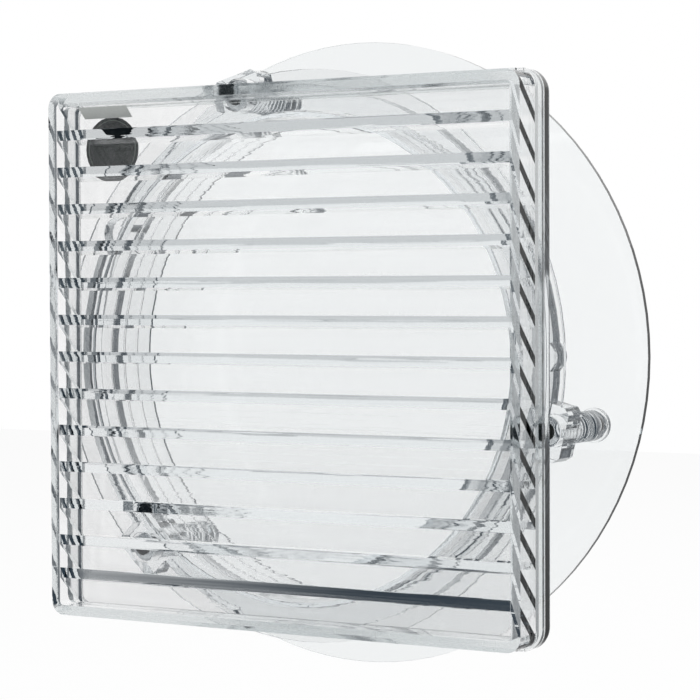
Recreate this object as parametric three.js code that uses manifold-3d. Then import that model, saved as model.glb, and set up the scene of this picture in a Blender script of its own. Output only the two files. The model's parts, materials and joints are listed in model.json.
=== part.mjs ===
// A clear plastic window ventilator: a square louvred cover on a base frame whose sleeve passes
// through a round hole in the pane, a clamp ring on that sleeve outdoors, and a rain disc carried
// by three clamp bolts.
// Millimetres. X runs to the right seen from the room, +Y points outdoors along the axis of the
// sleeve, +Z is up. The origin is on that axis, in the plane where the base meets the pane.
import * as THREE from "three";
import { mergeVertices } from "three/addons/utils/BufferGeometryUtils.js";
import Module from "manifold-3d";

const wasm = await Module();
wasm.setup();

// ---- sleeve, from which the other pieces take their size
const BORE_R = 89.5;
const SLEEVE_WALL = 1.6;
const SLEEVE_LENGTH = 34.5;
const RIB_HEIGHT = 0.6;
const RIB_WIDTH = 1.4;
const RIB_PITCH = 8.4;
const RIB_COUNT = 3;
const FIRST_RIB_Y = 9.3;

// ---- louvred cover
const COVER_OVERHANG = 8.9;
const COVER_CORNER_R = 5.5;
const COVER_WALL = 3.8;
const COVER_DEPTH = 15.4;
const BLADE_COUNT = 13;
const LAST_BLADE_PITCH = 12.8;
const LAST_BLADE_RISE = 18.24;
const BLADE_DEPTH = 14.8;
const BLADE_DROP = 14.07;
const BLADE_THICK = 3.9;
const BLADE_SET_BACK = 0.3;

// ---- base frame
const BASE_SIDE_EDGE = 3;
const BASE_TOP_EDGE = 1.2;
const BASE_CORNER_R = 8.5;
const PLATE_THICK = 1.6;
const LIP_HEIGHT = 4.2;
const LIP_CLEARANCE = 0.4;
const GASKET_THICK = 1.5;
const GASKET_WIDTH = 5;
const GASKET_EDGE = 0.5;
const NOTCH_WIDTH = 3;
const NOTCH_DEPTH = 1.2;
const NOTCH_INSET = 8.5;

// ---- label and sticker, both blank
const LABEL_WIDTH = 22;
const LABEL_HEIGHT = 5.8;
const LABEL_THICK = 0.2;
const LABEL_INSET = 9.2;
const LABEL_SET_BACK = 4;
const LABEL_GLUE = 0.05;
const STICKER_R = 12.3;
const STICKER_THICK = 0.25;
const STICKER_INSET = 19.7;

// ---- clamp ring
const PANE_GAP = 3;
const FLANGE_SET_BACK = 0.6;
const FLANGE_LEDGE = 6.2;
const FLANGE_THICK = 1.8;
const DRUM_WALL = 8.1;
const DRUM_DEPTH = 9.5;
const SLEEVE_CLEARANCE = 0.4;
const LUG_COUNT = 3;
const LUG_FIRST_ANGLE = -14.2;
const LUG_SIDE_WALL = 4.1;
const LUG_OUTER_WALL = 1.3;
const LUG_CHAMFER = 2.2;
const GRIP_ANGLES = [0.5, 150, 255];
const GRIP_R = 6.6;
const GRIP_STAND_OUT = 2.2;

// ---- clamp bolts and rain disc
const BOLT_STAND_OUT = 2.2;
const BOLT_R = 5.6;
const BOLT_CLEARANCE = 0.3;
const THREAD_LENGTH = 30.4;
const THREAD_DEPTH = 0.45;
const NECK_R = 2.9;
const BOLT_HEAD_LEDGE = 0.8;
const BOLT_HEAD_THICK = 1.8;
const SLOT_WIDTH = 1.2;
const SLOT_DEPTH = 0.8;
const PAD_R = 3.2;
const PAD_LEDGE = 1.2;
const PAD_STEM = 2.5;
const PAD_THICK = 1.6;
const COLLAR_LEDGE = 0.8;
const COLLAR_THICK = 2;
const DISC_RIM = 17.6;
const DISC_THICK = 2.4;
const OUTLET_GAP = 11.9;
const SEAT_GAP = 0.3;

const RING_SEGMENTS = 72;
const DISC_SEGMENTS = 96;
const BOLT_SEGMENTS = 24;
const CORNER_SEGMENTS = 6;

// ---- planes along Y that the pieces share
const PLATE_BACK_Y = -GASKET_THICK;
const PLATE_FRONT_Y = PLATE_BACK_Y - PLATE_THICK;
const LIP_FRONT_Y = PLATE_FRONT_Y - LIP_HEIGHT;
const COVER_FRONT_Y = PLATE_FRONT_Y - COVER_DEPTH;
const PAD_FRONT_Y = PANE_GAP;
const FLANGE_FRONT_Y = PAD_FRONT_Y + FLANGE_SET_BACK;
const FLANGE_BACK_Y = FLANGE_FRONT_Y + FLANGE_THICK;
const DRUM_BACK_Y = FLANGE_BACK_Y + DRUM_DEPTH;
const DISC_Y = SLEEVE_LENGTH + OUTLET_GAP;
const DISC_BACK_Y = DISC_Y + DISC_THICK;
const COLLAR_BACK_Y = DISC_Y - SEAT_GAP;
const COLLAR_FRONT_Y = COLLAR_BACK_Y - COLLAR_THICK;

// ---- radii and half widths that the pieces share
const SLEEVE_R = BORE_R + SLEEVE_WALL;
const RIB_R = SLEEVE_R + RIB_HEIGHT;
const COVER_HALF = SLEEVE_R + COVER_OVERHANG;
const BASE_HALF = COVER_HALF + BASE_SIDE_EDGE;
const BASE_HALF_HEIGHT = COVER_HALF + BASE_TOP_EDGE;
const RING_BORE_R = RIB_R + SLEEVE_CLEARANCE;
const DRUM_R = RING_BORE_R + DRUM_WALL;
const FLANGE_R = DRUM_R + FLANGE_LEDGE;
const BOLT_CIRCLE_R = DRUM_R + BOLT_STAND_OUT;
const BOLT_HOLE_R = BOLT_R + BOLT_CLEARANCE;
const NECK_HOLE_R = NECK_R + BOLT_CLEARANCE;
const BOLT_HEAD_R = NECK_HOLE_R + BOLT_HEAD_LEDGE;
const PAD_STEM_R = PAD_R - PAD_LEDGE;
const COLLAR_R = BOLT_R + COLLAR_LEDGE;
const LUG_HALF_WIDTH = BOLT_HOLE_R + LUG_SIDE_WALL;
const LUG_OUTER_R = BOLT_CIRCLE_R + BOLT_HOLE_R + LUG_OUTER_WALL;
const DISC_R = BOLT_CIRCLE_R + DISC_RIM;

// The blades between the cover's top and the last blade share its height evenly.
const BLADE_PITCH = (2 * COVER_HALF - LAST_BLADE_PITCH - LAST_BLADE_RISE) / (BLADE_COUNT - 1);

const material = (color, roughness, metalness = 0) =>
  new THREE.MeshStandardMaterial({ color, roughness, metalness });
const CLEAR = () => material(0xdfe6e8, 0.08);
const SOFT_CLEAR = () => material(0xd6dcdc, 0.5);
const BLACK_RUBBER = () => material(0x15201c, 0.7);
const BLACK_FILM = () => material(0x101814, 0.35);
const GREY_FILM = () => material(0x8d9492, 0.6);

// ---- solids

function toSolid(geometry) {
  const bare = geometry.clone();
  bare.deleteAttribute("normal");
  bare.deleteAttribute("uv");
  const merged = mergeVertices(bare, 1e-4);
  const vertProperties = new Float32Array(merged.attributes.position.array);
  const triVerts = new Uint32Array(merged.index.array);
  return new wasm.Manifold(new wasm.Mesh({ numProp: 3, vertProperties, triVerts }));
}

function toGeometry(solid) {
  const mesh = solid.getMesh();
  const geometry = new THREE.BufferGeometry();
  geometry.setAttribute("position", new THREE.BufferAttribute(mesh.vertProperties, mesh.numProp));
  geometry.setIndex(new THREE.BufferAttribute(mesh.triVerts, 1));
  geometry.computeVertexNormals();
  return geometry;
}

function piece(name, solid, look) {
  const mesh = new THREE.Mesh(toGeometry(solid), look);
  mesh.name = name;
  return mesh;
}

// A rectangle in X and Z with rounded corners.
function roundedBox(halfWidth, halfHeight, radius, path = new THREE.Shape()) {
  const flat = halfWidth - radius;
  const tall = halfHeight - radius;
  path.moveTo(halfWidth, -tall);
  path.lineTo(halfWidth, tall);
  path.absarc(flat, tall, radius, 0, Math.PI / 2, false);
  path.lineTo(-flat, halfHeight);
  path.absarc(-flat, tall, radius, Math.PI / 2, Math.PI, false);
  path.lineTo(-halfWidth, -tall);
  path.absarc(-flat, -tall, radius, Math.PI, Math.PI * 1.5, false);
  path.lineTo(flat, -halfHeight);
  path.absarc(flat, -tall, radius, Math.PI * 1.5, Math.PI * 2, false);
  return path;
}

const roundedSquare = (half, radius) => roundedBox(half, half, radius);

// A shape drawn in X and Z, extruded along Y from front to back.
function alongY(shape, frontY, backY, curveSegments = CORNER_SEGMENTS) {
  const geometry = new THREE.ExtrudeGeometry(shape, {
    depth: backY - frontY,
    bevelEnabled: false,
    curveSegments,
  });
  geometry.rotateX(Math.PI / 2);
  geometry.translate(0, backY, 0);
  return toSolid(geometry);
}

// A shape drawn in Y and Z, extruded along X about the middle plane.
function alongX(shape, halfWidth) {
  const geometry = new THREE.ExtrudeGeometry(shape, { depth: 2 * halfWidth, bevelEnabled: false });
  geometry.applyMatrix4(new THREE.Matrix4().set(0, 0, 1, -halfWidth, 1, 0, 0, 0, 0, 1, 0, 0, 0, 0, 0, 1));
  return toSolid(geometry);
}

function outline(points) {
  return new THREE.Shape(points.map(([across, up]) => new THREE.Vector2(across, up)));
}

// A closed profile of [radius, y] points turned about the Y axis.
function turned(profile, segments) {
  const points = [...profile, profile[0]].map(([r, y]) => new THREE.Vector2(r, y));
  return toSolid(new THREE.LatheGeometry(points, segments));
}

function rod(radius, frontY, backY, segments = BOLT_SEGMENTS) {
  return turned([[0, frontY], [radius, frontY], [radius, backY], [0, backY]], segments);
}

// Turns a solid built at angle 0 (along +X) to its place on a circle about Y.
function atAngle(solid, degrees) {
  return solid.rotate([0, -degrees, 0]);
}

const lugAngle = (index) => LUG_FIRST_ANGLE + (360 / LUG_COUNT) * index;
const lugIndices = Array.from({ length: LUG_COUNT }, (_, index) => index);

// ---- louvred cover

// Blade 0 is the slope under the cover's top wall, and the last one lies closer to its neighbour.
function bladeTop(index) {
  if (index === BLADE_COUNT) return LAST_BLADE_RISE - COVER_HALF;
  return COVER_HALF - BLADE_PITCH * index;
}

function blade(index) {
  const top = bladeTop(index);
  const front = COVER_FRONT_Y + BLADE_SET_BACK;
  const back = COVER_FRONT_Y + BLADE_DEPTH;
  const section = outline([
    [front, top - BLADE_THICK],
    [back, top - BLADE_THICK - BLADE_DROP],
    [back, top - BLADE_DROP],
    [front, top],
  ]);
  return alongX(section, COVER_HALF - COVER_WALL / 2);
}

function louvreCover() {
  const outer = roundedSquare(COVER_HALF, COVER_CORNER_R);
  const body = alongY(outer, COVER_FRONT_Y, PLATE_FRONT_Y);
  const innerCorner = Math.max(COVER_CORNER_R - COVER_WALL, 0.8);
  const opening = roundedSquare(COVER_HALF - COVER_WALL, innerCorner);
  const past = 1;
  let cover = body.subtract(alongY(opening, COVER_FRONT_Y - past, PLATE_FRONT_Y + past));
  for (let index = 0; index <= BLADE_COUNT; index += 1) {
    cover = cover.add(blade(index).intersect(body));
  }
  return piece("louvre_cover", cover, CLEAR());
}

// A blank label stuck under the slope behind the cover's top rim.
function areaLabel() {
  const slope = Math.atan2(BLADE_DROP, BLADE_DEPTH - BLADE_SET_BACK);
  const label = new THREE.Mesh(new THREE.BoxGeometry(LABEL_WIDTH, LABEL_HEIGHT, LABEL_THICK), GREY_FILM());
  const underside = bladeTop(0) - BLADE_THICK - (LABEL_SET_BACK - BLADE_SET_BACK) * Math.tan(slope);
  const away = LABEL_THICK / 2 + LABEL_GLUE;
  const centreX = LABEL_INSET + LABEL_WIDTH / 2 + COVER_WALL - COVER_HALF;
  label.name = "area_label";
  label.rotation.x = -slope;
  label.position.set(
    centreX,
    COVER_FRONT_Y + LABEL_SET_BACK - away * Math.sin(slope),
    underside - away * Math.cos(slope),
  );
  return label;
}

// ---- base frame with its sleeve

function sleeveProfile() {
  const tip = SLEEVE_LENGTH;
  const profile = [[BORE_R, tip], [BORE_R, PLATE_FRONT_Y], [SLEEVE_R, PLATE_FRONT_Y]];
  for (let index = 0; index < RIB_COUNT; index += 1) {
    const y = FIRST_RIB_Y + RIB_PITCH * index;
    profile.push([SLEEVE_R, y - RIB_WIDTH / 2], [RIB_R, y + RIB_WIDTH / 4]);
    profile.push([RIB_R, y + RIB_WIDTH / 2], [SLEEVE_R, y + RIB_WIDTH / 2]);
  }
  profile.push([SLEEVE_R, tip]);
  return profile;
}

// A shallow notch in the front of the lip, where one of the cover's snaps is freed.
function lipNotch(side, end) {
  const notch = new THREE.BoxGeometry(NOTCH_WIDTH, 2 * NOTCH_DEPTH, NOTCH_WIDTH);
  notch.translate(side * (BASE_HALF - NOTCH_INSET), LIP_FRONT_Y, end * BASE_HALF_HEIGHT);
  return toSolid(notch);
}

function baseFrame() {
  const past = 1;
  const lipInner = COVER_HALF + LIP_CLEARANCE;
  const tray = roundedSquare(lipInner, COVER_CORNER_R + LIP_CLEARANCE);
  const outer = roundedBox(BASE_HALF, BASE_HALF_HEIGHT, BASE_CORNER_R);
  let base = alongY(outer, LIP_FRONT_Y, PLATE_BACK_Y);
  base = base.subtract(alongY(tray, LIP_FRONT_Y - past, PLATE_FRONT_Y));
  const solidCore = (BORE_R + SLEEVE_R) / 2;
  base = base.subtract(rod(solidCore, LIP_FRONT_Y - past, PLATE_BACK_Y + past, RING_SEGMENTS));
  base = base.add(turned(sleeveProfile(), RING_SEGMENTS));
  for (const side of [-1, 1]) {
    for (const end of [-1, 1]) base = base.subtract(lipNotch(side, end));
  }
  return piece("base_frame", base, CLEAR());
}

function paneGasket() {
  const ring = (inset) => [BASE_HALF - inset, BASE_HALF_HEIGHT - inset, BASE_CORNER_R - inset];
  const shape = roundedBox(...ring(GASKET_EDGE));
  shape.holes.push(roundedBox(...ring(GASKET_EDGE + GASKET_WIDTH), new THREE.Path()));
  return piece("pane_gasket", alongY(shape, PLATE_BACK_Y, 0), SOFT_CLEAR());
}

// A blank round sticker on the front of the base plate, in its top left corner.
function roundSticker() {
  const place = COVER_HALF - STICKER_INSET;
  const sticker = rod(STICKER_R, PLATE_FRONT_Y - STICKER_THICK, PLATE_FRONT_Y, 32);
  return piece("round_sticker", sticker.translate([-place, 0, place]), BLACK_FILM());
}

// ---- clamp ring

function lugBlock() {
  const half = LUG_HALF_WIDTH;
  const inner = RING_BORE_R + SLEEVE_CLEARANCE;
  const shoulder = LUG_OUTER_R - LUG_CHAMFER;
  const endView = outline([
    [inner, -half],
    [shoulder, -half],
    [LUG_OUTER_R, LUG_CHAMFER - half],
    [LUG_OUTER_R, half - LUG_CHAMFER],
    [shoulder, half],
    [inner, half],
  ]);
  return alongY(endView, FLANGE_FRONT_Y, DRUM_BACK_Y);
}

// A hole that goes right through, on the circle of the bolts at angle 0.
function boltHole(radius, frontY, backY) {
  const past = 1;
  return rod(radius, frontY - past, backY + past).translate([BOLT_CIRCLE_R, 0, 0]);
}

function clampRing() {
  const past = 1;
  let ring = turned(
    [
      [0, FLANGE_FRONT_Y],
      [FLANGE_R, FLANGE_FRONT_Y],
      [FLANGE_R, FLANGE_BACK_Y],
      [DRUM_R, FLANGE_BACK_Y],
      [DRUM_R, DRUM_BACK_Y],
      [0, DRUM_BACK_Y],
    ],
    RING_SEGMENTS,
  );
  const gripCentre = DRUM_R + GRIP_STAND_OUT - GRIP_R;
  const grip = rod(GRIP_R, FLANGE_FRONT_Y, DRUM_BACK_Y).translate([gripCentre, 0, 0]);
  for (const angle of GRIP_ANGLES) ring = ring.add(atAngle(grip, angle));
  for (const index of lugIndices) ring = ring.add(atAngle(lugBlock(), lugAngle(index)));
  ring = ring.subtract(rod(RING_BORE_R, FLANGE_FRONT_Y - past, DRUM_BACK_Y + past, RING_SEGMENTS));
  const hole = boltHole(BOLT_HOLE_R, FLANGE_FRONT_Y, DRUM_BACK_Y);
  for (const index of lugIndices) ring = ring.subtract(atAngle(hole, lugAngle(index)));
  return piece("clamp_ring", ring, CLEAR());
}

// ---- clamp bolts, their pads and collars, and the rain disc

// The bolt's neck turns in the collar and the disc, and a small slotted head behind holds them.
function clampBolt(index) {
  const tip = PAD_FRONT_Y + PAD_THICK;
  const root = BOLT_R - THREAD_DEPTH;
  const threadEnd = tip + THREAD_LENGTH;
  const shoulder = COLLAR_FRONT_Y - SEAT_GAP;
  const headFront = DISC_BACK_Y + SEAT_GAP;
  const headBack = headFront + BOLT_HEAD_THICK;
  let bolt = turned(
    [
      [0, tip],
      [root, tip],
      [root, threadEnd],
      [BOLT_R, threadEnd + THREAD_DEPTH],
      [BOLT_R, shoulder],
      [NECK_R, shoulder],
      [NECK_R, headFront],
      [BOLT_HEAD_R, headFront],
      [BOLT_HEAD_R, headBack],
      [0, headBack],
    ],
    BOLT_SEGMENTS,
  );
  bolt = bolt.subtract(rod(PAD_STEM_R + BOLT_CLEARANCE, tip - 1, tip + PAD_STEM + SEAT_GAP));
  const slot = new THREE.BoxGeometry(SLOT_WIDTH, 2 * SLOT_DEPTH, 2 * BOLT_HEAD_R + 1);
  bolt = bolt.subtract(toSolid(slot.translate(0, headBack, 0)));
  bolt = atAngle(bolt.translate([BOLT_CIRCLE_R, 0, 0]), lugAngle(index));
  return piece(`clamp_bolt_${index + 1}`, bolt, CLEAR());
}

function boltPad(index) {
  const back = PAD_FRONT_Y + PAD_THICK - SEAT_GAP;
  const stemEnd = PAD_FRONT_Y + PAD_THICK + PAD_STEM;
  const profile = [
    [0, PAD_FRONT_Y],
    [PAD_R, PAD_FRONT_Y],
    [PAD_R, back],
    [PAD_STEM_R, back],
    [PAD_STEM_R, stemEnd],
    [0, stemEnd],
  ];
  const pad = turned(profile, BOLT_SEGMENTS).translate([BOLT_CIRCLE_R, 0, 0]);
  return piece(`bolt_pad_${index + 1}`, atAngle(pad, lugAngle(index)), BLACK_RUBBER());
}

function discCollar(index) {
  const profile = [
    [NECK_HOLE_R, COLLAR_FRONT_Y],
    [COLLAR_R, COLLAR_FRONT_Y],
    [COLLAR_R, COLLAR_BACK_Y],
    [NECK_HOLE_R, COLLAR_BACK_Y],
  ];
  const collar = turned(profile, BOLT_SEGMENTS).translate([BOLT_CIRCLE_R, 0, 0]);
  return piece(`disc_collar_${index + 1}`, atAngle(collar, lugAngle(index)), CLEAR());
}

function rainDisc() {
  let disc = rod(DISC_R, DISC_Y, DISC_BACK_Y, DISC_SEGMENTS);
  const hole = boltHole(NECK_HOLE_R, DISC_Y, DISC_BACK_Y);
  for (const index of lugIndices) disc = disc.subtract(atAngle(hole, lugAngle(index)));
  return piece("rain_disc", disc, CLEAR());
}

const ventilator = new THREE.Group();
ventilator.add(louvreCover(), areaLabel(), baseFrame(), paneGasket(), roundSticker());
ventilator.add(clampRing(), rainDisc());
for (const index of lugIndices) {
  ventilator.add(clampBolt(index), boltPad(index), discCollar(index));
}

export default ventilator;
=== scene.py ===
"""Looks of a clear plastic window ventilator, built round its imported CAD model."""

import json
import math

import bmesh
import bpy
from mathutils import Matrix, Vector

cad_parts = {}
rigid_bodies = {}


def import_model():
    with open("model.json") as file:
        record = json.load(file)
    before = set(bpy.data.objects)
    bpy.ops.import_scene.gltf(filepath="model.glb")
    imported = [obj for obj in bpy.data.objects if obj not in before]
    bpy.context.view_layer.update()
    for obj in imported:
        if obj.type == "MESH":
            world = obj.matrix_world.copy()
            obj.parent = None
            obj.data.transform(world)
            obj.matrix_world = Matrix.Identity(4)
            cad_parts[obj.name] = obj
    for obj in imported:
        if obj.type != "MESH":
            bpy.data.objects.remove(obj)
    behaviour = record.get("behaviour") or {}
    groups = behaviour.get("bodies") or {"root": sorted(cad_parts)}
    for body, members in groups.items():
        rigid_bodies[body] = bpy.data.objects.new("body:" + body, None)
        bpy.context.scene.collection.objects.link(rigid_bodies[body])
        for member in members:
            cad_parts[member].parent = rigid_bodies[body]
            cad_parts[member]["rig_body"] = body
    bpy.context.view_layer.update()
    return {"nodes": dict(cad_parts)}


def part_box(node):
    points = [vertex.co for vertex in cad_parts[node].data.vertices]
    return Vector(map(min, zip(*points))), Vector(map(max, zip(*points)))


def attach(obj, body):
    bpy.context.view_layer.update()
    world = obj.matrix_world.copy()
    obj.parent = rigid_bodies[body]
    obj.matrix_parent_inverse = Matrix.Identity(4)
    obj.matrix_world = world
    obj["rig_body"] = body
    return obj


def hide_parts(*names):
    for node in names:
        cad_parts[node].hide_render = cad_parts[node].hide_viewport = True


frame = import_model()

MM = 0.001
SHARP_ANGLE = math.radians(24)
THREAD_SHARP_ANGLE = math.radians(35)
FLAT_ANGLE = math.radians(0.4)
WELD = 0.004 * MM
CUT_WELD = 0.001 * MM
SAME_PLANE = 0.01 * MM
FILM = 0.03 * MM
WHITE = (1, 1, 1, 1)
TEXTURE_LOW = 0.3
TEXTURE_HIGH = 0.7

# ---- camera, as fitted to the photograph
CAMERA_AT = Vector((0.43095, -0.70833, 0.02595))
CAMERA_YAW = math.radians(29.967)
CAMERA_PITCH = math.radians(-1.625)
CAMERA_ROLL = math.radians(-0.227)
SENSOR_WIDTH = 36
LENS = 115.32
CLIP_START = 0.01
CLIP_END = 50

# ---- stage: sizes in metres, and the room's brightness for each kind of ray
FLOOR_Z = -0.35
FLOOR_SIZE = 8
FLOOR_GLOW = 0.7
WORLD_FILL = 0.95
FADE_FROM = 6
FADE_TO = 12
FADE_LOW = 0.2
BRIGHT_SIDE = Vector((-0.65, 0.7, 0.3))
BRIGHT_FROM = -0.05
BRIGHT_TO = 0.65
DARK_ROOM = (0.035, 0.048, 0.062, 1)
LIGHT_SIZE = 2.0
LIGHTS = (
    ("key", (-1.2, -1.4, 1.9), 10),
    ("fill", (2.0, -1.2, 1.2), 5),
    ("back", (0.4, 2.2, 1.6), 5),
)
MAX_BOUNCES = 32
MIRROR_BOUNCES = 24

# ---- clear plastics: name, absorption density, tint, scale of the flow marks, their depth in mm
COVER_CLEAR = ("cover_clear", 8, (0.80, 0.89, 0.93, 1), (5, 160, 160), 0.08)
FRAME_CLEAR = ("frame_clear", 8, (0.78, 0.87, 0.92, 1), (40, 40, 40), 0.05)
RING_CLEAR = ("ring_clear", 10, (0.80, 0.88, 0.92, 1), (45, 90, 45), 0.04)
BOLT_CLEAR = ("bolt_clear", 10, (0.80, 0.88, 0.92, 1), (120, 120, 120), 0.02)
SHEET_CLEAR = ("sheet_clear", 75, (0.80, 0.89, 0.91, 1), (12, 12, 12), 0.03)
HARD_IOR = 1.53
POLISH = (0.0, 0.012)

# ---- soft plastic, rubber and films: the films' colours are their ground and their print
SOFT_IOR = 1.5
SOFT_TINT = (0.93, 0.95, 0.95, 1)
SOFT_ROUGH = (0.12, 0.3)
RUBBER_TINT = (0.012, 0.017, 0.015)
RUBBER_ROUGH = (0.5, 0.7)
FILM_ROUGH = (0.28, 0.42)
BLACK_FILM = ((0.012, 0.018, 0.015), (0.16, 0.19, 0.17))
GREY_FILM = ((0.45, 0.47, 0.46), (0.5, 0.52, 0.51))

# ---- rounding of the edges, millimetres
COVER_ROUND = 0.25
FRAME_ROUND = 0.1
RING_ROUND = 0.3
DISC_ROUND = 0.3
COLLAR_ROUND = 0.15
PAD_ROUND = 0.3

# ---- planes of the blades' fronts and rears, millimetres
BLADE_ENDS_Y = (-18.2, -3.7)

# ---- clamp bolts, millimetres
BOLT_R = 5.6
THREAD_PITCH = 2.5
THREAD_DEPTH = 0.42
THREAD_LENGTH = 30.4
THREAD_LEAD = 1.2
SHOULDER_Y = 43.8
NECK_R = 2.9
STEM_HOLE_R = 2.3
STEM_HOLE_DEPTH = 2.8
HEAD_FRONT_Y = 49.1
HEAD_R = 4.0
HEAD_ROUND = 0.5
HEAD_CHAMFER = 0.2
BOLT_CHAMFER = 0.3
SLOT_WIDTH = 1.2
SLOT_DEPTH = 0.8
BOLT_STEPS = 40
THREAD_STEPS = 10

# ---- round sticker, millimetres from its centre
STICKER_LINE_R = 10.9
STICKER_LINE_WIDTH = 0.35


# ---- nodes

def new_material(name):
    made = bpy.data.materials.new(name)
    made.use_nodes = True
    tree = made.node_tree
    return made, tree.nodes, tree.links, tree.nodes["Principled BSDF"]


def noise(nodes, links, stretch, seed=0.0):
    """Noise in the object's own metres, with its own scale along each axis."""
    place = nodes.new("ShaderNodeTexCoord")
    mapping = nodes.new("ShaderNodeMapping")
    mapping.inputs["Scale"].default_value = stretch
    mapping.inputs["Location"].default_value = (seed, seed, seed)
    links.new(place.outputs["Object"], mapping.inputs["Vector"])
    made = nodes.new("ShaderNodeTexNoise")
    made.inputs["Scale"].default_value = 1
    made.inputs["Detail"].default_value = 3
    links.new(mapping.outputs["Vector"], made.inputs["Vector"])
    return made


def spread(nodes, links, source, low, high):
    """Turns the part of a texture's range that it mostly uses into the range low to high."""
    made = nodes.new("ShaderNodeMapRange")
    made.inputs["From Min"].default_value = TEXTURE_LOW
    made.inputs["From Max"].default_value = TEXTURE_HIGH
    made.inputs["To Min"].default_value = low
    made.inputs["To Max"].default_value = high
    links.new(source, made.inputs["Value"])
    return made.outputs["Result"]


def bump(nodes, links, shader, height, distance):
    """Raises the surface by the height times the distance, given in millimetres."""
    made = nodes.new("ShaderNodeBump")
    made.inputs["Strength"].default_value = 1
    made.inputs["Distance"].default_value = distance * MM
    links.new(height, made.inputs["Height"])
    links.new(made.outputs["Normal"], shader.inputs["Normal"])


# ---- materials

def clear_plastic(name, density, tint, flow, depth):
    """Polished clear plastic: faint flow marks, a little uneven polish, tinted by its depth."""
    made, nodes, links, shader = new_material(name)
    shader.inputs["Base Color"].default_value = WHITE
    shader.inputs["Transmission Weight"].default_value = 1
    shader.inputs["IOR"].default_value = HARD_IOR
    marks = noise(nodes, links, flow)
    bump(nodes, links, shader, marks.outputs["Fac"], depth)
    patches = noise(nodes, links, (60, 60, 60), seed=3.0)
    polish = spread(nodes, links, patches.outputs["Fac"], *POLISH)
    links.new(polish, shader.inputs["Roughness"])
    volume = nodes.new("ShaderNodeVolumeAbsorption")
    volume.inputs["Color"].default_value = tint
    volume.inputs["Density"].default_value = density
    links.new(volume.outputs["Volume"], nodes["Material Output"].inputs["Volume"])
    return made


def soft_plastic(name):
    """Soft translucent plastic with a fine satin grain."""
    made, nodes, links, shader = new_material(name)
    shader.inputs["Base Color"].default_value = SOFT_TINT
    shader.inputs["Transmission Weight"].default_value = 1
    shader.inputs["IOR"].default_value = SOFT_IOR
    grain = noise(nodes, links, (1600, 1600, 1600))
    bump(nodes, links, shader, grain.outputs["Fac"], 0.01)
    polish = spread(nodes, links, grain.outputs["Fac"], *SOFT_ROUGH)
    links.new(polish, shader.inputs["Roughness"])
    return made


def rubber(name, colour, grain_scale, grain_depth, rough):
    """Moulded black rubber: fine grain and a slightly dusty, uneven sheen."""
    made, nodes, links, shader = new_material(name)
    grain = noise(nodes, links, (grain_scale,) * 3)
    bump(nodes, links, shader, grain.outputs["Fac"], grain_depth)
    dust = noise(nodes, links, (180, 180, 180), seed=1.7)
    links.new(spread(nodes, links, dust.outputs["Fac"], *rough), shader.inputs["Roughness"])
    tint = nodes.new("ShaderNodeMix")
    tint.data_type = "RGBA"
    tint.inputs["A"].default_value = (*colour, 1)
    tint.inputs["B"].default_value = (*(1.7 * c + 0.006 for c in colour), 1)
    links.new(dust.outputs["Fac"], tint.inputs["Factor"])
    links.new(tint.outputs["Result"], shader.inputs["Base Color"])
    return made


def printed_film(name, ground, line, centre=None):
    """Printed film with a faint tooth. With a centre, a thin ring is printed near its edge."""
    made, nodes, links, shader = new_material(name)
    tooth = noise(nodes, links, (900, 900, 900))
    bump(nodes, links, shader, tooth.outputs["Fac"], 0.006)
    polish = spread(nodes, links, tooth.outputs["Fac"], *FILM_ROUGH)
    links.new(polish, shader.inputs["Roughness"])
    shade = nodes.new("ShaderNodeMix")
    shade.data_type = "RGBA"
    shade.inputs["A"].default_value = (*ground, 1)
    shade.inputs["B"].default_value = (*line, 1)
    links.new(shade.outputs["Result"], shader.inputs["Base Color"])
    if not centre:
        links.new(spread(nodes, links, tooth.outputs["Fac"], 0, 1), shade.inputs["Factor"])
        return made
    place = nodes.new("ShaderNodeTexCoord")
    away = nodes.new("ShaderNodeVectorMath")
    away.operation = "DISTANCE"
    away.inputs[1].default_value = centre
    links.new(place.outputs["Object"], away.inputs[0])
    ring = nodes.new("ShaderNodeMath")
    ring.operation = "COMPARE"
    ring.inputs[1].default_value = STICKER_LINE_R * MM
    ring.inputs[2].default_value = STICKER_LINE_WIDTH / 2 * MM
    links.new(away.outputs["Value"], ring.inputs[0])
    links.new(ring.outputs["Value"], shade.inputs["Factor"])
    return made


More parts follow.
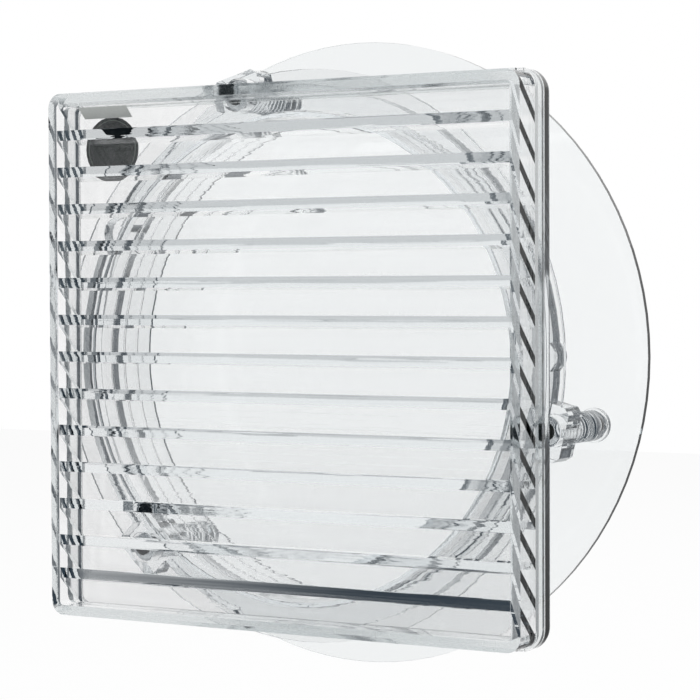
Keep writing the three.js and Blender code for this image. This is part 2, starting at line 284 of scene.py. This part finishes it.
def floor_material():
    """Pale matte floor that takes a shadow. Its glow shows white to the camera and to rays
    straight through clear plastic; to mirrored rays the glow is painted light towards the room's
    bright side and painted shade elsewhere, by where each floor point lies from the origin.
    """
    made, nodes, links, shader = new_material("pale_floor")
    grain = noise(nodes, links, (30, 30, 30))
    shade = nodes.new("ShaderNodeMix")
    shade.data_type = "RGBA"
    shade.inputs["A"].default_value = (0.9, 0.9, 0.9, 1)
    shade.inputs["B"].default_value = (0.92, 0.92, 0.92, 1)
    links.new(grain.outputs["Fac"], shade.inputs["Factor"])
    links.new(shade.outputs["Result"], shader.inputs["Base Color"])
    shader.inputs["Roughness"].default_value = 0.9
    shader.inputs["Specular IOR Level"].default_value = 0
    glow = nodes.new("ShaderNodeEmission")
    place = nodes.new("ShaderNodeNewGeometry")
    # painted light and painted shade: for mirrored rays the floor's glow takes the room's bright
    # and dark sides from the floor point's position
    links.new(room_light(nodes, links, place.outputs["Position"]), glow.inputs["Color"])
    mix = nodes.new("ShaderNodeMixShader")
    path = nodes.new("ShaderNodeLightPath")
    glow_share = nodes.new("ShaderNodeMapRange")
    glow_share.inputs["To Min"].default_value = FLOOR_GLOW
    glow_share.inputs["To Max"].default_value = 1
    links.new(path.outputs["Glossy Depth"], glow_share.inputs["Value"])
    share = nodes.new("ShaderNodeMath")
    share.operation = "MULTIPLY"
    links.new(seen_ray(nodes, links), share.inputs[0])
    links.new(glow_share.outputs["Result"], share.inputs[1])
    links.new(share.outputs["Value"], mix.inputs["Fac"])
    links.new(shader.outputs["BSDF"], mix.inputs[1])
    links.new(glow.outputs["Emission"], mix.inputs[2])
    links.new(mix.outputs["Shader"], nodes["Material Output"].inputs["Surface"])
    return made


def seen_ray(nodes, links):
    """1 for a ray from the camera or one that mirrors or passes through something, else 0."""
    path = nodes.new("ShaderNodeLightPath")
    seen = path.outputs["Is Camera Ray"]
    for kind in ("Is Glossy Ray", "Is Transmission Ray"):
        larger = nodes.new("ShaderNodeMath")
        larger.operation = "MAXIMUM"
        links.new(seen, larger.inputs[0])
        links.new(path.outputs[kind], larger.inputs[1])
        seen = larger.outputs["Value"]
    return seen


def room_light(nodes, links, way):
    """White for a ray that nothing has mirrored. The others find one side of the room bright."""
    unit = nodes.new("ShaderNodeVectorMath")
    unit.operation = "NORMALIZE"
    links.new(way, unit.inputs[0])
    side = nodes.new("ShaderNodeVectorMath")
    side.operation = "DOT_PRODUCT"
    side.inputs[1].default_value = BRIGHT_SIDE
    links.new(unit.outputs["Vector"], side.inputs[0])
    shade = nodes.new("ShaderNodeMapRange")
    shade.interpolation_type = "SMOOTHSTEP"
    shade.inputs["From Min"].default_value = BRIGHT_FROM
    shade.inputs["From Max"].default_value = BRIGHT_TO
    links.new(side.outputs["Value"], shade.inputs["Value"])
    share = nodes.new("ShaderNodeMath")
    share.operation = "MULTIPLY"
    links.new(shade.outputs["Result"], share.inputs[0])
    links.new(inner_fade(nodes, links), share.inputs[1])
    room = nodes.new("ShaderNodeMix")
    room.data_type = "RGBA"
    links.new(share.outputs["Value"], room.inputs["Factor"])
    room.inputs["A"].default_value = DARK_ROOM
    room.inputs["B"].default_value = WHITE
    path = nodes.new("ShaderNodeLightPath")
    mirrored = nodes.new("ShaderNodeMath")
    mirrored.operation = "MINIMUM"
    links.new(path.outputs["Glossy Depth"], mirrored.inputs[0])
    mirrored.inputs[1].default_value = 1
    mix = nodes.new("ShaderNodeMix")
    mix.data_type = "RGBA"
    links.new(mirrored.outputs["Value"], mix.inputs["Factor"])
    mix.inputs["A"].default_value = WHITE
    links.new(room.outputs["Result"], mix.inputs["B"])
    return mix.outputs["Result"]


def inner_fade(nodes, links):
    """1 for a ray mirrored FADE_FROM times at most, falling to FADE_LOW at FADE_TO times."""
    path = nodes.new("ShaderNodeLightPath")
    fade = nodes.new("ShaderNodeMapRange")
    fade.inputs["From Min"].default_value = FADE_FROM
    fade.inputs["From Max"].default_value = FADE_TO
    fade.inputs["To Min"].default_value = 1
    fade.inputs["To Max"].default_value = FADE_LOW
    links.new(path.outputs["Glossy Depth"], fade.inputs["Value"])
    return fade.outputs["Result"]


# ---- refined copies of CAD nodes

def open_film(shape, y, away):
    """Draws back the faces that touch a neighbour in the plane y, which leaves a film of air."""
    for vert in shape.verts:
        if abs(vert.co.y - y) < SAME_PLANE:
            vert.co.y += away


def stand_for(made, node):
    """Makes the piece ride as the node does and take its place."""
    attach(made, frame["nodes"][node]["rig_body"])
    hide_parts(node)
    return made


def split_along(shape, y):
    """Cuts the faces that cross the plane y, so that the rounding has no comb-shaped face."""
    whole = shape.verts[:] + shape.edges[:] + shape.faces[:]
    place = (0, y * MM, 0)
    facing = (0, 1, 0)
    bmesh.ops.bisect_plane(shape, geom=whole, dist=CUT_WELD, plane_co=place, plane_no=facing)


def linked(name, data):
    """Adds an object with this data to the scene."""
    made = bpy.data.objects.new(name, data)
    bpy.context.scene.collection.objects.link(made)
    return made


def smooth_faces(shape):
    for face in shape.faces:
        face.smooth = True
    bmesh.ops.recalc_face_normals(shape, faces=shape.faces)


def refined(node, width, look, slot, segments=2, film=None, splits=()):
    """A copy of a CAD node with clean faces and edges rounded by the width, in millimetres."""
    source = frame["nodes"][node]
    mesh = source.data.copy()
    mesh.name = node + "_skin"
    mesh.materials.clear()
    shape = bmesh.new()
    shape.from_mesh(mesh)
    bmesh.ops.remove_doubles(shape, verts=shape.verts, dist=WELD)
    every = {"verts": shape.verts, "edges": shape.edges}
    bmesh.ops.dissolve_limit(shape, angle_limit=FLAT_ANGLE, **every)
    for y in splits:
        split_along(shape, y)
    if film:
        open_film(shape, *film)
    smooth_faces(shape)
    shape.to_mesh(mesh)
    shape.free()
    mesh.set_sharp_from_angle(angle=SHARP_ANGLE)
    mesh.materials.append(look)
    made = linked(node + "_skin", mesh)
    if width:
        bevel = made.modifiers.new("rounded_edges", "BEVEL")
        bevel.width = width * MM
        bevel.segments = segments
        bevel.limit_method = "ANGLE"
        bevel.angle_limit = SHARP_ANGLE
        bevel.miter_outer = "MITER_ARC"
        flats = made.modifiers.new("flat_faces", "WEIGHTED_NORMAL")
        flats.mode = "FACE_AREA"
        flats.weight = 100
        flats.keep_sharp = True
    return stand_for(made, node)


# ---- clamp bolts with real threads

def bolt_profile(tip):
    """Rows of (radius, y, share of the thread's depth that its grooves have) up to the head."""
    rows = [
        (STEM_HOLE_R, tip + STEM_HOLE_DEPTH, 0),
        (STEM_HOLE_R, tip, 0),
        (BOLT_R - THREAD_DEPTH - BOLT_CHAMFER, tip, 0),
        (BOLT_R - THREAD_DEPTH, tip + BOLT_CHAMFER, 0),
    ]
    count = round(THREAD_LENGTH / THREAD_PITCH * THREAD_STEPS)
    for step in range(1, count):
        y = THREAD_LENGTH * step / count
        start = min(1, y / THREAD_LEAD)
        end = min(1, (THREAD_LENGTH - y) / THREAD_LEAD)
        radius = BOLT_R - THREAD_DEPTH * (1 - start)
        rows.append((radius, tip + y, min(start, end)))
    rows += [
        (BOLT_R, tip + THREAD_LENGTH, 0),
        (BOLT_R, SHOULDER_Y - BOLT_CHAMFER, 0),
        (BOLT_R - BOLT_CHAMFER, SHOULDER_Y, 0),
        (NECK_R, SHOULDER_Y, 0),
        (NECK_R, HEAD_FRONT_Y, 0),
        (HEAD_R - HEAD_CHAMFER, HEAD_FRONT_Y, 0),
        (HEAD_R, HEAD_FRONT_Y + HEAD_CHAMFER, 0),
    ]
    return rows


def thread_cut(y, angle):
    """How deep the groove is there, from 0 on its crest to 1 at its root."""
    turn = (y / THREAD_PITCH + angle / (2 * math.pi)) % 1
    return 0.5 - 0.5 * math.cos(2 * math.pi * turn)


def lathe_ring(shape, centre, radius, y, cut):
    """One ring of points round the bolt's axis, drawn in by the thread's grooves."""
    ring = []
    for step in range(BOLT_STEPS):
        angle = 2 * math.pi * step / BOLT_STEPS
        depth = THREAD_DEPTH * cut * thread_cut(y, angle) if cut else 0
        reach = radius - depth
        across = centre.x + reach * math.cos(angle) * MM
        up = centre.z + reach * math.sin(angle) * MM
        ring.append(shape.verts.new((across, y * MM, up)))
    return ring


def close_rings(shape, before, after):
    for step in range(BOLT_STEPS):
        follow = (step + 1) % BOLT_STEPS
        shape.faces.new((before[step], before[follow], after[follow], after[step]))


def cap_ring(shape, ring, centre, y):
    middle = shape.verts.new((centre.x, y * MM, centre.z))
    for step in range(BOLT_STEPS):
        shape.faces.new((ring[step], ring[(step + 1) % BOLT_STEPS], middle))


def cut_slot(made, centre, angle, back):
    """Cuts the screwdriver slot across the head."""
    mesh = bpy.data.meshes.new("slot_cutter")
    shape = bmesh.new()
    size = Vector((SLOT_WIDTH, 2 * SLOT_DEPTH, 3 * HEAD_R)) * MM
    place = Matrix.Translation((centre.x, back, centre.z)) @ Matrix.Rotation(-angle, 4, "Y")
    bmesh.ops.create_cube(shape, size=1, matrix=place @ Matrix.Diagonal((*size, 1)))
    shape.to_mesh(mesh)
    shape.free()
    cutter = linked("slot_cutter", mesh)
    cut = made.modifiers.new("slot", "BOOLEAN")
    cut.object = cutter
    cut.solver = "EXACT"
    graph = bpy.context.evaluated_depsgraph_get()
    result = bpy.data.meshes.new_from_object(made.evaluated_get(graph))
    made.modifiers.clear()
    old = made.data
    made.data = result
    bpy.data.meshes.remove(old)
    bpy.data.objects.remove(cutter)
    bpy.data.meshes.remove(mesh)


def threaded_bolt(number, look):
    """A clamp bolt with a real helix, in the place of its CAD node."""
    node = f"clamp_bolt_{number}"
    low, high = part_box(node)
    centre = (Vector(low) + Vector(high)) / 2
    tip = low[1] / MM
    head_back = high[1] / MM
    shape = bmesh.new()
    rings = [lathe_ring(shape, centre, radius, y, cut) for radius, y, cut in bolt_profile(tip)]
    for before, after in zip(rings, rings[1:]):
        close_rings(shape, before, after)
    domed = (
        (HEAD_R, head_back - HEAD_ROUND),
        (HEAD_R - HEAD_ROUND * 0.4, head_back - HEAD_ROUND * 0.3),
        (HEAD_R - HEAD_ROUND * 1.4, head_back),
    )
    for radius, y in domed:
        rings.append(lathe_ring(shape, centre, radius, y, 0))
        close_rings(shape, rings[-2], rings[-1])
    cap_ring(shape, rings[0], centre, tip + STEM_HOLE_DEPTH)
    cap_ring(shape, rings[-1], centre, head_back)
    smooth_faces(shape)
    mesh = bpy.data.meshes.new(node + "_skin")
    shape.to_mesh(mesh)
    shape.free()
    made = linked(node + "_skin", mesh)
    cut_slot(made, centre, math.atan2(centre.z, centre.x), high[1])
    made.data.set_sharp_from_angle(angle=THREAD_SHARP_ANGLE)
    made.data.materials.append(look)
    return stand_for(made, node)


# ---- stage

def camera():
    data = bpy.data.cameras.new("camera")
    data.sensor_width = SENSOR_WIDTH
    data.lens = LENS
    data.clip_start = CLIP_START
    data.clip_end = CLIP_END
    made = linked("camera", data)
    turn = Matrix.Rotation(CAMERA_YAW, 4, "Z")
    tip = Matrix.Rotation(math.radians(90) + CAMERA_PITCH, 4, "X")
    roll = Matrix.Rotation(CAMERA_ROLL, 4, "Z")
    made.matrix_world = Matrix.Translation(CAMERA_AT) @ turn @ tip @ roll
    bpy.context.scene.camera = made


def world():
    """White all round, but rays mirrored in the plastic find the room bright on one side only."""
    made = bpy.data.worlds.new("studio")
    bpy.context.scene.world = made
    made.use_nodes = True
    nodes = made.node_tree.nodes
    links = made.node_tree.links
    way = nodes.new("ShaderNodeTexCoord")
    mix = nodes.new("ShaderNodeMix")
    mix.data_type = "RGBA"
    links.new(seen_ray(nodes, links), mix.inputs["Factor"])
    mix.inputs["A"].default_value = (WORLD_FILL, WORLD_FILL, WORLD_FILL, 1)
    links.new(room_light(nodes, links, way.outputs["Generated"]), mix.inputs["B"])
    links.new(mix.outputs["Result"], nodes["Background"].inputs["Color"])


def soft_light(name, place, power):
    """A large lamp aimed at the origin, which rays inside the plastic don't meet."""
    data = bpy.data.lights.new(name, "AREA")
    data.shape = "SQUARE"
    data.size = LIGHT_SIZE
    data.energy = power
    made = linked(name, data)
    made.visible_transmission = False
    away = Vector(place)
    turn = away.to_track_quat("Z", "Y").to_matrix().to_4x4()
    made.matrix_world = Matrix.Translation(away) @ turn


def floor():
    mesh = bpy.data.meshes.new("floor")
    half = FLOOR_SIZE / 2
    corners = [(-half, -half, 0), (half, -half, 0), (half, half, 0), (-half, half, 0)]
    mesh.from_pydata(corners, [], [(0, 1, 2, 3)])
    mesh.materials.append(floor_material())
    made = linked("floor", mesh)
    made.location.z = FLOOR_Z


def studio():
    camera()
    world()
    floor()
    for name, place, power in LIGHTS:
        soft_light(name, place, power)
    scene = bpy.context.scene
    scene.view_settings.view_transform = "Standard"
    scene.cycles.max_bounces = MAX_BOUNCES
    scene.cycles.glossy_bounces = MIRROR_BOUNCES
    scene.cycles.transmission_bounces = MAX_BOUNCES


def mouldings(behind_cover):
    """The cover, the base frame, the clamp ring, the disc and the gasket."""
    cover = clear_plastic(*COVER_CLEAR)
    fitted = {"film": behind_cover, "splits": BLADE_ENDS_Y}
    refined("louvre_cover", COVER_ROUND, cover, "clear_plastic", **fitted)
    refined("base_frame", FRAME_ROUND, clear_plastic(*FRAME_CLEAR), "clear_plastic")
    refined("clamp_ring", RING_ROUND, clear_plastic(*RING_CLEAR), "clear_plastic")
    refined("rain_disc", DISC_ROUND, clear_plastic(*SHEET_CLEAR), "clear_plastic")
    before_gasket = (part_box("pane_gasket")[0].y, FILM)
    refined("pane_gasket", 0, soft_plastic("soft_clear"), "soft_clear", film=before_gasket)


def bolts():
    """The clamp bolts with their collars and pads."""
    bolt_look = clear_plastic(*BOLT_CLEAR)
    black = rubber("black_rubber", RUBBER_TINT, 2200, 0.02, RUBBER_ROUGH)
    for number in (1, 2, 3):
        threaded_bolt(number, bolt_look)
        refined(f"disc_collar_{number}", COLLAR_ROUND, bolt_look, "clear_plastic")
        refined(f"bolt_pad_{number}", PAD_ROUND, black, "black_rubber", segments=3)


def films(behind_cover):
    """The round sticker and the blank label."""
    low, high = (Vector(corner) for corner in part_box("round_sticker"))
    centre = (low + high) / 2
    dark_film = printed_film("black_film", *BLACK_FILM, centre)
    refined("round_sticker", 0, dark_film, "black_film", film=behind_cover)
    grey_film = printed_film("grey_film", *GREY_FILM)
    refined("area_label", 0, grey_film, "grey_film")


rear_of_cover = (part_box("louvre_cover")[1].y, -FILM)
mouldings(rear_of_cover)
bolts()
films(rear_of_cover)
studio()
